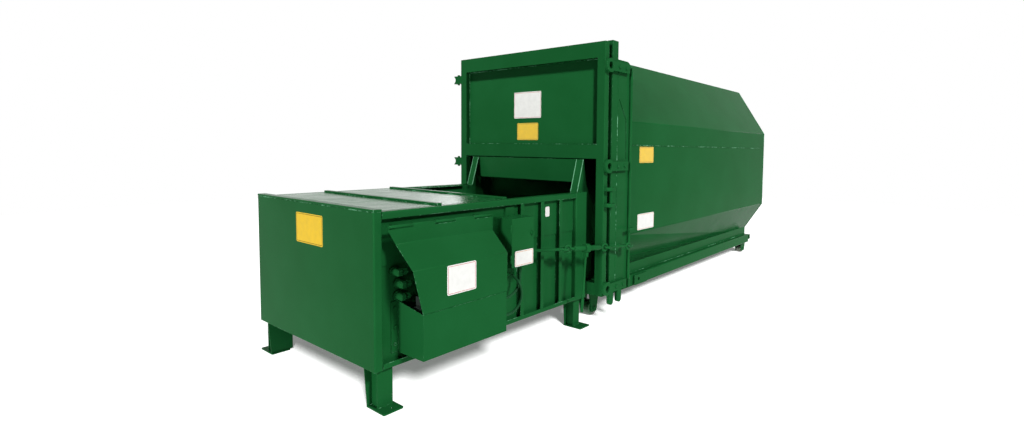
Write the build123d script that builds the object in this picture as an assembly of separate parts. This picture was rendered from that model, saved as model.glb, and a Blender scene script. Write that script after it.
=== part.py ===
"""Stationary waste compactor coupled to its octagonal receiver container.

Millimetres. The origin is on the floor, in the middle of the four anchor holes. +X runs from the
compactor's rear to the container, -Y is the side with the power unit, +Z is up.
"""

import math
import os

from build123d import *

# Anchor holes in the foot pads
ANCHOR_X = 1008
ANCHOR_Y = 820
ANCHOR_RADIUS = 11

# Compactor body
REAR = -1116
FRONT = 1081
TOP = 1264
BOTTOM = 262
HALF_WIDTH = 815
PLATE = 8
WALL_OUT = 770
WALL_IN = WALL_OUT - PLATE
LAP_OUT = WALL_OUT + PLATE
LAP_Z = 914
LEDGE_IN = 712
RAIL_LIP = 48
SILL_HEIGHT = 38
CORNER_DEPTH = 60
POST_BACK = 918
BODY_START = REAR + CORNER_DEPTH
BEND = 10

# Floor of the charge chamber
FLOOR_TOP = 425
FLOOR_PLATE = 12
CROSS_WIDTH = 60
CROSS_COUNT = 6

# Ribs on the side walls
RIB_PITCH = 246
RIB_FIRST = 697.5
RIB_WIDTH = 42
RIB_SHEET = 5
RIBS_POWER_SIDE = 3
RIBS_FAR_SIDE = 7

# Covers behind the charge opening
COVER_JOINT = -585
COVER_END = 69
COVER_HALF = 753
BAR_HEIGHT = 16
BAR_WIDTH = 40

# Legs and foot pads
LEG_BACKS = (-1078, 938)
LEG_WIDTHS = (109, 90)
PAD_WIDTHS = (142, 150)
PAD = 10
PAD_Y = (672, 874)
LEG_INNER = 690
LEG_WEB = 16
LEG_SPAN = 148
LEG_REAR = (16, 34)

# Throat that reaches into the container
THROAT_END = 1241
THROAT_BACK = 930
THROAT_POST = ((993, 1253), (1086, 1566))
THROAT_LIP = ((1100, 1566), (1135, 1343))
THROAT_FOLD = 40
THROAT_NOSE = 1122
THROAT_FLANGE = 683

# Ram and telescopic cylinder
RAM_FACE = 56
RAM_BACK = -1030
RAM_HALF = 742
RAM_Z = (437, 1047)
RAM_PLATE = 12
RAM_FACE_PLATE = 20
SHOE_Y = (560, 700)
CYLINDER_Z = 740
PIN_RADIUS = 25
PIN_HALF = 80
RUNNING_GAP = 0.05
SLIDING_GAP = 0.5
EYE_HALF = 48
LUG_Y = (50, 70)
EYE_RADIUS = 42
ANCHOR_PIN_X = -1004
RAM_PIN_X = -20
BEAM_FRONT = -1050
BARREL = (-950, -110)
BARREL_RADIUS = 95
STAGE_RADIUS = 80
PLUNGER_RADIUS = 62

# Power unit on the side wall
HOUSING_X = (-923, -202)
HOUSING_OUT = 1040
HOUSING_Z = (333, 627)
HOUSING_END_TOP = 672
HOUSING_SHEET = 6
HOUSING_FLANGE = 51
HOOD_X = (-1062, -195)
HOOD_LEFT = (-1009, -994)
HOOD_SHEET = 5
HOOD_OUT = 884
HOOD_BREAK = 1064
HOOD_KNEE = 914
HOOD_GAP = 2
HINGE_X = (-1050, -195)
HINGE_RADIUS = 11
HINGE_Y = HINGE_RADIUS - HOOD_OUT
HINGE_Z = 1172
HINGE_PIN = 6
HINGE_CLEAR = 14
FITTINGS = ((-954, 870), (-925, 786), (-929, 707))

# Hoses below the control box, each from its upper end to the power unit's end plate
HOSE_RADIUS = 10
GLAND = 24
GLAND_RADIUS = 18
HOSE_ROUTE = (
    (60, -794, 666), (60, -836, 666), (59, -876, 653), (58, -910, 628), (57, -934, 594),
    (56, -946, 554), (54, -947, 512), (41, -945, 472), (17, -940, 438), (-17, -933, 413),
    (-57, -926, 401), (-99, -921, 399), (-138, -918, 399), (-178, -918, 399),
)
CONDUIT_ROUTE = (
    (110, -880, 738), (110, -880, 690), (104, -884, 643), (86, -890, 601), (57, -896, 567),
    (18, -901, 544), (-27, -904, 530), (-76, -905, 524), (-126, -906, 522), (-178, -906, 522),
)

# Control box
BOX_X = (-83, 160)
BOX_OUT = 970
BOX_Z = (762, 1136)
BOX_SHEET = 3
BOX_HINGE = (-90, -973)
BOX_HINGE_RADIUS = 6
BOX_HINGE_PIN = 3
BOX_DOOR = 4
LATCH_X = 138
LATCH_Z = 1010
LATCH_RADIUS = 8

# Ratchet binders, from a lug on a rib to a lug on the container's collar
BINDER_START = Vector(226, -872, 838)
BINDER_END = Vector(1380, -1090, 742)
LUG_PLATE = 12
RING = 30
RING_WIRE = 11
RING_CHAMFER = 5
END_RING = 24
LINK_STEP = 27
BINDER_TUBE = (480, 790)
BINDER_TUBE_RADIUS = 24
BINDER_RATCHET = 630
HANDLE_LENGTH = 560

# Container door and collar
DOOR = 1096
DOOR_DEPTH = 64
DOOR_HALF = 990
DOOR_Z = (287, 2650)
DOOR_POST = 90
DOOR_TOP_RAIL = 2504
DOOR_MID_RAIL = (1575, 1709)
DOOR_BOTTOM_RAIL = 408
DOOR_PANEL = (1150, 1156)
DOOR_BACK = 1172
SEAL_INSET = 60
BOLSTER = (1218, 1312)
BOLSTER_TOP = 2675
COLLAR_END = 1547
COLLAR_TOP = 2510
COLLAR_ROUND = 80
COLLAR_SLOT = ((1342, 2138), (1464, 1951), (1474, 1573))
STRAP_Z = (358, 1508, 2433)
STRAP = 34
STRAP_HEIGHT = 86
STRAP_END = 1470
STRAP_EYE = 64
STRAP_HOLE = 33
STRAP_TABS = (1206, 1346)
LATCH_LUGS = (1148, 1297)
ROD_X = 1530
ROD_Y = -1006
ROD_RADIUS = 13

# Container body, as half of its octagon in (y, z)
OCTAGON = ((656, 336), (976, 820), (976, 1940), (540, 2619))
SHELL = 6
CONTAINER_END = 5662
BASE_RAIL_Y = (700, 772)
BASE_RAIL_Z = (171, 297)
SILL_Y = (440, 520)
SKIRT_Y = (702, 708)
GUSSET_X = 1785
PULL_PLATE = (2010, 2290)
DECK = 8
CROSS_MEMBERS = 9
REAR_BEAM = 5742
REAR_BEAM_Z = (216, 289)

# Ground rollers: place along the machine, radius, and the inner and outer bracket plates
FRONT_ROLLER = (1352, 75, (575, 590), (710, 725))
REAR_ROLLER = (5625, 60, (594, 606), (688, 700))
AXLE_RADIUS = 20
ROLLER_GAP = 3


def block(x, y, z):
    """A plate or bar between (low, high) pairs."""
    pairs = (x, y, z)
    middle = [(low + high) / 2 for low, high in pairs]
    return Pos(*middle) * Box(*[high - low for low, high in pairs])


def outline(*points):
    """A flat face inside a line of points."""
    return make_face(Polyline(*points, close=True))


def folded(points, sheet, bend, side):
    """The section of a sheet folded along a line of points."""
    line = FilletPolyline(*points, radius=bend)
    return make_face(line.offset_2d(sheet, side=side, closed=True).edges())


def across(section, y):
    """A section in (x, z), carried across the machine."""
    plane = Plane(origin=(0, y[1], 0), x_dir=(1, 0, 0), z_dir=(0, -1, 0))
    return extrude(plane * section, y[1] - y[0])


def along(section, x):
    """A section in (y, z), carried along the machine."""
    plane = Plane(origin=(x[0], 0, 0), x_dir=(0, 1, 0), z_dir=(1, 0, 0))
    return extrude(plane * section, x[1] - x[0])


def upright(section, z):
    """A section in (x, y), carried upwards."""
    return extrude(Pos(0, 0, z[0]) * section, z[1] - z[0])


def bar_x(x, y, z, radius):
    """A round bar along X."""
    return Pos(sum(x) / 2, y, z) * Rot(0, 90, 0) * Cylinder(radius, x[1] - x[0])


def bar_y(x, y, z, radius):
    """A round bar along Y."""
    return Pos(x, sum(y) / 2, z) * Rot(90, 0, 0) * Cylinder(radius, y[1] - y[0])


def bar_z(x, y, z, radius):
    """A round bar along Z."""
    return Pos(x, y, sum(z) / 2) * Cylinder(radius, z[1] - z[0])


def mirrored(shape):
    """The same piece on the far side."""
    return mirror(shape, about=Plane.XZ)


def both(*shapes):
    """Pieces on the power unit's side, with their twins on the far side."""
    pieces = list(shapes) + [mirrored(shape) for shape in shapes]
    return Compound(children=pieces)


def floor_plate():
    return block((REAR + PLATE, THROAT_END), (-WALL_IN, WALL_IN), (FLOOR_TOP - FLOOR_PLATE, FLOOR_TOP))


def floor_cross_members():
    top = FLOOR_TOP - FLOOR_PLATE
    first = REAR + 16
    pitch = (FRONT - CROSS_WIDTH - first) / (CROSS_COUNT - 1)
    members = []
    for number in range(CROSS_COUNT):
        x = first + number * pitch
        line = ((x + CROSS_WIDTH, BOTTOM), (x, BOTTOM), (x, top), (x + CROSS_WIDTH, top))
        members.append(across(folded(line, PLATE, BEND, Side.RIGHT), (-WALL_IN, WALL_IN)))
    return Compound(children=members)


def side_wall():
    """The lower sheet at full height, and the upper sheet lapped over it with a ledge for the covers."""
    ledge = TOP - PLATE
    lower = block((REAR + PLATE, FRONT), (-WALL_OUT, -WALL_IN), (BOTTOM, ledge - PLATE))
    line = ((-LAP_OUT, LAP_Z), (-LAP_OUT, ledge), (-LEDGE_IN, ledge))
    upper = along(folded(line, PLATE, BEND, Side.RIGHT), (BODY_START, POST_BACK))
    return Compound(children=[lower, upper])


def top_rails():
    line = ((-COVER_HALF - 1, TOP), (-HALF_WIDTH, TOP), (-HALF_WIDTH, TOP - RAIL_LIP))
    return both(along(folded(line, PLATE, BEND, Side.LEFT), (BODY_START, POST_BACK)))


def bottom_sills():
    line = ((-WALL_OUT, BOTTOM), (-HALF_WIDTH, BOTTOM), (-HALF_WIDTH, BOTTOM + SILL_HEIGHT))
    return both(along(folded(line, PLATE, BEND, Side.RIGHT), (BODY_START, POST_BACK)))


def rib(x):
    """A folded channel on the wall, open to the rear and notched over the lapped upper sheet."""
    low = x - RIB_WIDTH / 2
    high = x + RIB_WIDTH / 2
    line = ((low, -WALL_OUT), (high, -WALL_OUT), (high, -HALF_WIDTH), (low, -HALF_WIDTH))
    height = (BOTTOM + SILL_HEIGHT, TOP - RAIL_LIP)
    channel = upright(folded(line, RIB_SHEET, RIB_SHEET + 2, Side.RIGHT), height)
    lap = block((low - 1, high + 1), (-LAP_OUT, -WALL_OUT), (LAP_Z, TOP))
    return channel - lap


def side_ribs():
    places = [RIB_FIRST - number * RIB_PITCH for number in range(RIBS_FAR_SIDE)]
    power_side = [rib(x) for x in places[:RIBS_POWER_SIDE]]
    far_side = [mirrored(rib(x)) for x in places]
    return Compound(children=power_side + far_side)


def front_posts():
    line = ((POST_BACK, -WALL_OUT), (POST_BACK, -HALF_WIDTH), (FRONT, -HALF_WIDTH), (FRONT, -WALL_OUT))
    post = upright(folded(line, PLATE, BEND, Side.LEFT), (BOTTOM, TOP))
    cap = block((POST_BACK + PLATE, FRONT - PLATE), (PLATE - HALF_WIDTH, -WALL_OUT), (TOP - PLATE, TOP))
    return both(post + cap)


def rear_panel():
    """One sheet with both sides folded twice into the corner posts."""
    near = ((BODY_START, -WALL_OUT), (BODY_START, -HALF_WIDTH), (REAR, -HALF_WIDTH))
    far = ((REAR, HALF_WIDTH), (BODY_START, HALF_WIDTH), (BODY_START, WALL_OUT))
    return upright(folded(near + far, PLATE, BEND, Side.RIGHT), (BOTTOM, TOP))


def top_covers():
    level = (TOP - PLATE, TOP)
    width = (-COVER_HALF, COVER_HALF)
    rear = block((REAR + PLATE, COVER_JOINT), width, level)
    front = block((COVER_JOINT, COVER_END), width, level)
    return Compound(children=[rear, front])


def cover_bar(x, half):
    """A flat bar with rounded upper edges."""
    bar = block(x, (-half, half), (TOP, TOP + BAR_HEIGHT))
    return fillet(bar.edges().group_by(Axis.Z)[-1], BAR_HEIGHT / 4)


def cover_bars():
    rear = cover_bar((REAR, BODY_START), HALF_WIDTH)
    middle = cover_bar((COVER_JOINT - BAR_WIDTH / 2, COVER_JOINT + BAR_WIDTH / 2), WALL_OUT)
    front = cover_bar((COVER_END - BAR_WIDTH, COVER_END), WALL_OUT)
    return Compound(children=[rear, middle, front])


def leg(back, width, pad_width, hole_x):
    """An outer plate, a cross web and a wider inner plate that slopes behind, welded to the foot pad."""
    heel = back - LEG_REAR[0]
    outer = block((back, back + width), (-LAP_OUT, -WALL_OUT), (PAD, BOTTOM))
    web = block((back + LEG_WEB, back + LEG_WEB + PLATE), (-WALL_OUT, -LEG_INNER), (PAD, BOTTOM))
    toe = back + LEG_SPAN
    inner_line = ((heel, PAD), (toe, PAD), (toe, BOTTOM), (back - LEG_REAR[1], BOTTOM))
    inner = across(outline(*inner_line), (-LEG_INNER, PLATE - LEG_INNER))
    pad = block((heel, heel + pad_width), (-PAD_Y[1], -PAD_Y[0]), (0, PAD))
    pad = fillet(pad.edges().filter_by(Axis.Z), PAD)
    hole = bar_z(hole_x, -ANCHOR_Y, (-1, PAD + 1), ANCHOR_RADIUS)
    return outer + web + inner + pad - hole


def legs():
    holes = (-ANCHOR_X, ANCHOR_X)
    return both(*[leg(*sizes) for sizes in zip(LEG_BACKS, LEG_WIDTHS, PAD_WIDTHS, holes)])


def throat_cheeks():
    """Side plates of the throat, each with a flange folded inwards up its sloping rear edge."""
    ledge = TOP - 2 * PLATE
    foot, head = THROAT_POST
    plate_line = ((THROAT_BACK, FLOOR_TOP), (THROAT_END, FLOOR_TOP), (THROAT_END, THROAT_NOSE), THROAT_LIP[1],
                  THROAT_LIP[0], head, foot, (foot[0], ledge), (THROAT_BACK, ledge))
    plate = across(outline(*plate_line), (-WALL_IN, PLATE - WALL_IN))
    flange_line = (foot, head, (head[0] + PLATE, head[1]), (foot[0] + PLATE, foot[1]))
    flange = across(outline(*flange_line), (-WALL_IN, -THROAT_FLANGE))
    return both(plate + flange)


def throat_panel():
    """The leaning panel between the cheeks, with its lower edge folded forward."""
    low_x, low_z = THROAT_LIP[1]
    line = (*THROAT_LIP, (low_x + THROAT_FOLD, low_z))
    half = WALL_IN - PLATE
    return across(folded(line, PLATE, BEND, Side.LEFT), (-half, half))


def eye_lug(x, tip):
    """A lug section in (x, z) with a pin hole, from x to the pin at tip."""
    middle = (x + tip) / 2
    section = Pos(middle, CYLINDER_Z) * Rectangle(abs(tip - x), 2 * EYE_RADIUS)
    section += Pos(tip, CYLINDER_Z) * Circle(EYE_RADIUS)
    return section - Pos(tip, CYLINDER_Z) * Circle(PIN_RADIUS + RUNNING_GAP)


def cylinder_anchor_beam():
    """A channel between the walls, with two lugs for the cylinder's pin."""
    low = CYLINDER_Z - 100
    high = CYLINDER_Z + 100
    back = REAR + PLATE
    line = ((back, low), (BEAM_FRONT, low), (BEAM_FRONT, high), (back, high))
    beam = across(folded(line, PLATE, BEND, Side.LEFT), (-WALL_IN, WALL_IN))
    lug = across(eye_lug(BEAM_FRONT, ANCHOR_PIN_X), (-LUG_Y[1], -LUG_Y[0]))
    return beam + lug + mirrored(lug)


def cylinder_barrel():
    """Tube with a closed rear end, an eye behind it and a gland collar in front."""
    rear, front = BARREL
    tube = bar_x(BARREL, 0, CYLINDER_Z, BARREL_RADIUS)
    tube += bar_x((front - 45, front), 0, CYLINDER_Z, BARREL_RADIUS + 10)
    tube -= bar_x((rear + 25, front), 0, CYLINDER_Z, STAGE_RADIUS + SLIDING_GAP)
    return tube + across(eye_lug(rear, ANCHOR_PIN_X), (-EYE_HALF, EYE_HALF))


def cylinder_pin(x):
    return bar_y(x, (-PIN_HALF, PIN_HALF), CYLINDER_Z, PIN_RADIUS)


def cylinder_stage():
    """The middle tube, with a stop collar in front of the barrel's gland."""
    rear, front = BARREL
    tube = bar_x((rear + 30, front + 20), 0, CYLINDER_Z, STAGE_RADIUS)
    tube += bar_x((front + 2, front + 20), 0, CYLINDER_Z, STAGE_RADIUS + 12)
    return tube - bar_x((rear, front + 30), 0, CYLINDER_Z, PLUNGER_RADIUS + SLIDING_GAP)


def cylinder_plunger():
    rear, front = BARREL
    neck = RAM_PIN_X - EYE_RADIUS
    bore = bar_y(RAM_PIN_X, (-PIN_HALF, PIN_HALF), CYLINDER_Z, PIN_RADIUS + RUNNING_GAP)
    rod = bar_x((rear + 40, neck), 0, CYLINDER_Z, PLUNGER_RADIUS)
    return rod + across(eye_lug(neck - 10, RAM_PIN_X), (-EYE_HALF, EYE_HALF)) - bore


def ram_platen():
    """A welded box, open behind for the cylinder, with lugs on the back of its face."""
    back_of_face = RAM_FACE - RAM_FACE_PLATE
    width = (-RAM_HALF, RAM_HALF)
    ram = block((RAM_BACK, RAM_FACE), width, RAM_Z)
    hollow_z = (RAM_Z[0] + RAM_PLATE, RAM_Z[1] - RAM_PLATE)
    hollow_y = (RAM_PLATE - RAM_HALF, RAM_HALF - RAM_PLATE)
    ram -= block((RAM_BACK - 1, back_of_face), hollow_y, hollow_z)
    lug = across(eye_lug(back_of_face, RAM_PIN_X), (-LUG_Y[1], -LUG_Y[0]))
    return ram + lug + mirrored(lug)


def ram_shoes():
    return both(block((RAM_BACK, RAM_FACE), (-SHOE_Y[1], -SHOE_Y[0]), (FLOOR_TOP, RAM_Z[0])))


def power_unit_housing():
    """A sheet box with an open top, sloping end plates and bolted flanges on the wall."""
    left, right = HOUSING_X
    low, high = HOUSING_Z
    sheet = HOUSING_SHEET
    end = outline((-WALL_OUT, low), (-HOUSING_OUT, low), (-HOUSING_OUT, high), (-WALL_OUT, HOUSING_END_TOP))
    box = along(end, (left, left + sheet)) + along(end, (right - sheet, right))
    inside = (left + sheet, right - sheet)
    box += block(inside, (-HOUSING_OUT, sheet - HOUSING_OUT), (low, high))
    box += block(inside, (sheet - HOUSING_OUT, -WALL_OUT), (low, low + sheet))
    for x in ((left - HOUSING_FLANGE, left), (right, right + HOUSING_FLANGE)):
        box += block(x, (-WALL_OUT - sheet, -WALL_OUT), (low + PLATE, HOUSING_END_TOP))
    return box


def hex_head(x, y, z, radius=11, height=8):
    """A hexagon bolt head that stands out towards -Y from its seat at y."""
    section = Pos(x, z) * RegularPolygon(radius, 6)
    return across(section, (y - height, y))


def housing_bolts():
    seat = -WALL_OUT - HOUSING_SHEET
    rows = (HOUSING_Z[0] + 60, (HOUSING_Z[0] + HOUSING_END_TOP) / 2, HOUSING_END_TOP - 40)
    columns = (HOUSING_X[0] - HOUSING_FLANGE / 2, HOUSING_X[1] + HOUSING_FLANGE / 2)
    return Compound(children=[hex_head(x, seat, z) for x in columns for z in rows])


def hydraulic_reservoir():
    floor = HOUSING_Z[0] + HOUSING_SHEET
    tank = block((-560, -215), (-1025, -785), (floor, 600))
    tank = fillet(tank.edges().filter_by(Axis.Z), 25)
    neck = bar_z(-262, -905, (600, 622), 24)
    cap = bar_z(-262, -905, (622, 640), 34)
    return tank + neck + cap


def electric_motor():
    """A foot-mounted motor: finned barrel, end bells, fan cowl and terminal box."""
    y = -905
    z = 560
    floor = HOUSING_Z[0] + HOUSING_SHEET
    motor = bar_x((-880, -650), y, z, 84)
    for number in range(6):
        motor += bar_x((-835 + number * 26, -823 + number * 26), y, z, 95)
    motor += block((-840, -690), (y - 55, y + 55), (z + 60, z + 135))
    motor += block((-830, -700), (y - 60, y + 60), (floor, z - 60))
    return motor + block((-850, -680), (y - 85, y + 85), (floor, floor + 14))


def hydraulic_pump():
    flange = bar_x((-650, -636), -905, 560, 70)
    return flange + bar_x((-636, -560), -905, 560, 52)


def valve_manifold():
    """A drilled block on the tank, with two solenoids."""
    valve = block((-480, -310), (-950, -860), (600, 690))
    for x in (-440, -350):
        valve += bar_y(x, (-1010, -950), 650, 22)
    return valve


def fitting(x, z):
    """A flanged stub from the wall with a forged elbow that points into the hood."""
    middle = -WALL_OUT - 62
    stub = bar_y(x, (-WALL_OUT - 16, -WALL_OUT), z, 32)
    stub += bar_y(x, (middle, -WALL_OUT - 16), z, 22)
    elbow = Pos(x, middle, z) * Box(44, 44, 44)
    stub += chamfer(elbow.edges(), 8)
    stub += bar_x((x + 20, x + 62), middle, z, 15)
    nut = Pos(middle, z) * RegularPolygon(22, 6)
    return stub + along(nut, (x + 32, x + 52))


def gland(seat, way):
    """A hexagon gland nut with a round collar, from its seat to the end of a hose."""
    nut = extrude(RegularPolygon(GLAND_RADIUS, 6), GLAND * 0.6)
    return Plane(origin=seat, z_dir=way) * (nut + Pos(0, 0, GLAND / 2) * Cylinder(HOSE_RADIUS + 4, GLAND))


def hose_glands():
    """A gland at both ends of each hose."""
    glands = [gland(Vector(HOSE_ROUTE[0]) + (0, GLAND, 0), (0, -1, 0))]
    glands.append(gland(Vector(CONDUIT_ROUTE[0]) + (0, 0, GLAND), (0, 0, -1)))
    for route in (HOSE_ROUTE, CONDUIT_ROUTE):
        glands.append(gland(Vector(route[-1]) - (GLAND, 0, 0), (1, 0, 0)))
    return glands


def hydraulic_fittings():
    return Compound(children=[fitting(*place) for place in FITTINGS] + hose_glands())


def bend_radii(route):
    """The largest arc that the runs beside each point of a route leave room for."""
    points = [Vector(point) for point in route]
    runs = [after - before for before, after in zip(points, points[1:])]
    radii = []
    for before, after in zip(runs, runs[1:]):
        half_turn = math.radians(before.get_angle(after)) / 2
        radii.append(0.45 * min(before.length, after.length) / math.tan(half_turn))
    return radii


def hose(route):
    """A hose along straight runs joined by large arcs."""
    radii = bend_radii(route)
    print("hose radii", [round(radius) for radius in radii])
    path = FilletPolyline(*route, radius=radii)
    section = Plane(origin=path @ 0, z_dir=path % 0) * Circle(HOSE_RADIUS)
    tube = sweep(section, path)
    share = tube.volume / (section.area * path.length)
    print("hose length", round(path.length), "volume share", round(share, 3))
    return tube


def knuckle_spans(count):
    """Stretches of the hood's hinge line, with a small gap between neighbours."""
    step = (HINGE_X[1] - HINGE_X[0]) / count
    return [(HINGE_X[0] + n * step + 0.5, HINGE_X[0] + (n + 1) * step - 0.5) for n in range(count)]


def hood_hinge():
    """A strip on the wall with arms out to the knuckles, and the pin through all of them."""
    hinge = block(HINGE_X, (-LAP_OUT - 6, -LAP_OUT), (HINGE_Z - 60, HINGE_Z + 6))
    hinge += bar_x(HINGE_X, HINGE_Y, HINGE_Z, HINGE_PIN)
    for span in knuckle_spans(5)[0::2]:
        middle = sum(span) / 2
        hinge += bar_x(span, HINGE_Y, HINGE_Z, HINGE_RADIUS)
        hinge += block((middle - 20, middle + 20), (HINGE_Y, -LAP_OUT), (HINGE_Z - 4, HINGE_Z + 4))
    return hinge


def hood_lid():
    """A sheet folded twice, with its left edge trimmed to a slope, and two knuckles."""
    top = HINGE_Z - HINGE_CLEAR
    low = HOUSING_Z[1] + HOOD_GAP
    line = ((-HOOD_OUT, top), (-HOOD_OUT, HOOD_BREAK), (-HOUSING_OUT, HOOD_KNEE), (-HOUSING_OUT, low))
    lid = along(folded(line, HOOD_SHEET, BEND, Side.LEFT), HOOD_X)
    left = HOOD_X[0] - 5
    trim = outline((left, top), (HOOD_X[0], top), (HOOD_LEFT[0], HOOD_BREAK), (HOOD_LEFT[1], HOOD_KNEE),
                   (HOUSING_X[0], low), (left, low))
    lid -= across(trim, (-HOUSING_OUT - 5, HINGE_Y))
    for span in knuckle_spans(5)[1::2]:
        lid += bar_x(span, HINGE_Y, HINGE_Z, HINGE_RADIUS)
        lid += block(span, (-HOOD_OUT, HOOD_SHEET - HOOD_OUT), (top, HINGE_Z))
    return lid - bar_x((HINGE_X[0] - 1, HINGE_X[1] + 1), HINGE_Y, HINGE_Z, HINGE_PIN + RUNNING_GAP)


def box_knuckles(lower):
    """Half of each of the control box's two hinges: the lower halves or the upper ones."""
    x, y = BOX_HINGE
    knuckles = []
    for z in (BOX_Z[0] + 70, BOX_Z[1] - 70):
        span = (z - 30, z - 0.5) if lower else (z + 0.5, z + 30)
        knuckles.append(bar_z(x, y, span, BOX_HINGE_RADIUS))
    return knuckles


def control_box():
    """A sheet box with an open front, hinge knuckles with pins, and a hanger above."""
    left, right = BOX_X
    low, high = BOX_Z
    x, y = BOX_HINGE
    sheet = BOX_SHEET
    box = block(BOX_X, (-BOX_OUT, -LAP_OUT), BOX_Z)
    box -= block((left + sheet, right - sheet), (-BOX_OUT - 1, -LAP_OUT - sheet), (low + sheet, high - sheet))
    box += block((left + 110, left + 200), (-LAP_OUT - 20, -LAP_OUT), (high, high + 64))
    for knuckle in box_knuckles(lower=True):
        box += knuckle
    for z in (low + 70, high - 70):
        box += block((x, left), (y, -BOX_OUT + 20), (z - 30, z - 0.5))
        box += bar_z(x, y, (z - 30, z + 30), BOX_HINGE_PIN)
    return box


def control_box_door():
    """A flat door with turned edges, upper knuckles and a hole for the latch."""
    left, right = BOX_X
    low, high = BOX_Z
    x, y = BOX_HINGE
    face = (-BOX_OUT - BOX_DOOR - 1, -BOX_OUT - 1)
    door = block((left + 1, right), face, (low, high))
    door = fillet(door.edges().group_by(Axis.Y)[0], 2)
    for knuckle in box_knuckles(lower=False):
        door += knuckle
    for z in (low + 70, high - 70):
        door += block((x, left + 2), (face[0] + 1, face[1]), (z + 0.5, z + 30))
        door -= bar_z(x, y, (z - 40, z + 40), BOX_HINGE_PIN + RUNNING_GAP)
    return door - bar_y(LATCH_X, (face[0] - 1, face[1] + 1), LATCH_Z, LATCH_RADIUS + RUNNING_GAP)


def control_box_latch():
    """A quarter-turn knob, its shaft through the door, and a short cam behind."""
    front = -BOX_OUT - BOX_DOOR - 1
    latch = bar_y(LATCH_X, (front - 8, front - 0.5), LATCH_Z, 15)
    latch += block((LATCH_X - 4, LATCH_X + 4), (front - 22, front - 8), (LATCH_Z - 14, LATCH_Z + 14))
    latch += bar_y(LATCH_X, (front - 2, -BOX_OUT + 14), LATCH_Z, LATCH_RADIUS)
    cam_z = (LATCH_Z - 12, LATCH_Z + 12)
    return latch + block((LATCH_X - 7, LATCH_X + 7), (-BOX_OUT + 8, -BOX_OUT + 14), cam_z)


def binder_frame():
    """A frame at the binder's start, with its X along the binder and its Z nearly upright."""
    run = (BINDER_END - BINDER_START).normalized()
    sideways = Vector(0, 0, 1).cross(run).normalized()
    return Plane(origin=BINDER_START, x_dir=run, z_dir=run.cross(sideways))


def binder_length():
    return (BINDER_END - BINDER_START).length


def ring(x, radius, upright_ring):
    """A forged eye with chamfered edges, upright or lying flat."""
    turn = Rot(90, 0, 0) if upright_ring else Rot(0, 0, 0)
    eye = Cylinder(radius + RING_WIRE, 2 * RING_WIRE) - Cylinder(radius - RING_WIRE, 2 * RING_WIRE)
    eye = chamfer(eye.edges().filter_by(GeomType.CIRCLE), RING_CHAMFER)
    return Pos(x, 0, 0) * turn * eye


def eye_rod(lug_x, link_x):
    """A rod with an upright eye at the lug and a flat eye at the link."""
    way = 1 if link_x > lug_x else -1
    ends = sorted((lug_x + way * END_RING, link_x - way * RING))
    rod = bar_x(ends, 0, 0, RING_WIRE + 2)
    return rod + ring(lug_x, END_RING, True) + ring(link_x, RING, False)


def link_places():
    """Where the rods' flat eyes lie: one link step short of the barrel's own eyes."""
    start, end = BINDER_TUBE
    reach = 2 * RING + 16
    return start - reach - LINK_STEP, end + reach + LINK_STEP


def binder_eye_rods():
    near, far = link_places()
    rods = (eye_rod(0, near), eye_rod(binder_length(), far))
    return both(*[binder_frame() * rod for rod in rods])


def binder_barrels():
    """The screw tube with an upright eye at each end."""
    near, far = link_places()
    shift = 2 * RING - LINK_STEP
    tube = bar_x(BINDER_TUBE, 0, 0, BINDER_TUBE_RADIUS)
    for eye in (near + shift, far - shift):
        inner = BINDER_TUBE[0] if eye < BINDER_TUBE[0] else BINDER_TUBE[1]
        way = RING if eye < inner else -RING
        tube += bar_x(sorted((eye + way, inner)), 0, 0, RING_WIRE + 3)
        tube += ring(eye, RING, True)
    return both(binder_frame() * tube)


def binder_handle():
    """The ratchet's housing round the tube, and the long handle that hangs from it."""
    x = BINDER_RATCHET
    housing = bar_x((x - 24, x + 24), 0, 0, 42)
    housing += block((x - 15, x + 15), (-18, 18), (-76, -20))
    handle = bar_z(x, 0, (-HANDLE_LENGTH, -60), 10)
    grip = bar_z(x, 0, (-HANDLE_LENGTH - 10, -HANDLE_LENGTH + 110), 14)
    bore = bar_x((x - 30, x + 30), 0, 0, BINDER_TUBE_RADIUS + SLIDING_GAP)
    return binder_frame() * (housing + handle + grip - bore)


def binder_lug(hole, root, reach):
    """A flat lug that stands out from a face at y = root, with an upright hole."""
    width = (hole.X - RIB_WIDTH / 2, hole.X + RIB_WIDTH / 2)
    plate = block(width, (hole.Y - reach, root), (hole.Z - LUG_PLATE / 2, hole.Z + LUG_PLATE / 2))
    return plate - bar_z(hole.X, hole.Y, (hole.Z - LUG_PLATE, hole.Z + LUG_PLATE), RING_WIRE + 5)


def binder_lugs():
    run = (BINDER_END - BINDER_START).normalized() * END_RING
    on_rib = binder_lug(BINDER_START - run, -HALF_WIDTH, 28)
    on_collar = binder_lug(BINDER_END + run, -DOOR_HALF, 28)
    return both(on_rib, on_collar)


def window(half, z):
    """A rectangle in (y, z), for door openings."""
    return outline((-half, z[0]), (half, z[0]), (half, z[1]), (-half, z[1]))


def door_frame():
    """Posts and rails of box section, with a lighter frame behind them."""
    opening = DOOR_HALF - DOOR_POST
    upper = window(opening, (DOOR_MID_RAIL[1], DOOR_TOP_RAIL))
    lower = window(opening, (DOOR_BOTTOM_RAIL, DOOR_MID_RAIL[0]))
    front = along(window(DOOR_HALF, DOOR_Z) - upper - lower, (DOOR, DOOR + DOOR_DEPTH))
    front = fillet(front.edges().group_by(Axis.X)[0], 6)
    back_window = window(opening + 40, (DOOR_BOTTOM_RAIL - 50, DOOR_TOP_RAIL + 50))
    back = window(DOOR_HALF - 22, (DOOR_Z[0] + 22, DOOR_Z[1] - 22)) - back_window
    return front + along(back, (DOOR + DOOR_DEPTH, DOOR_BACK))


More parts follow.
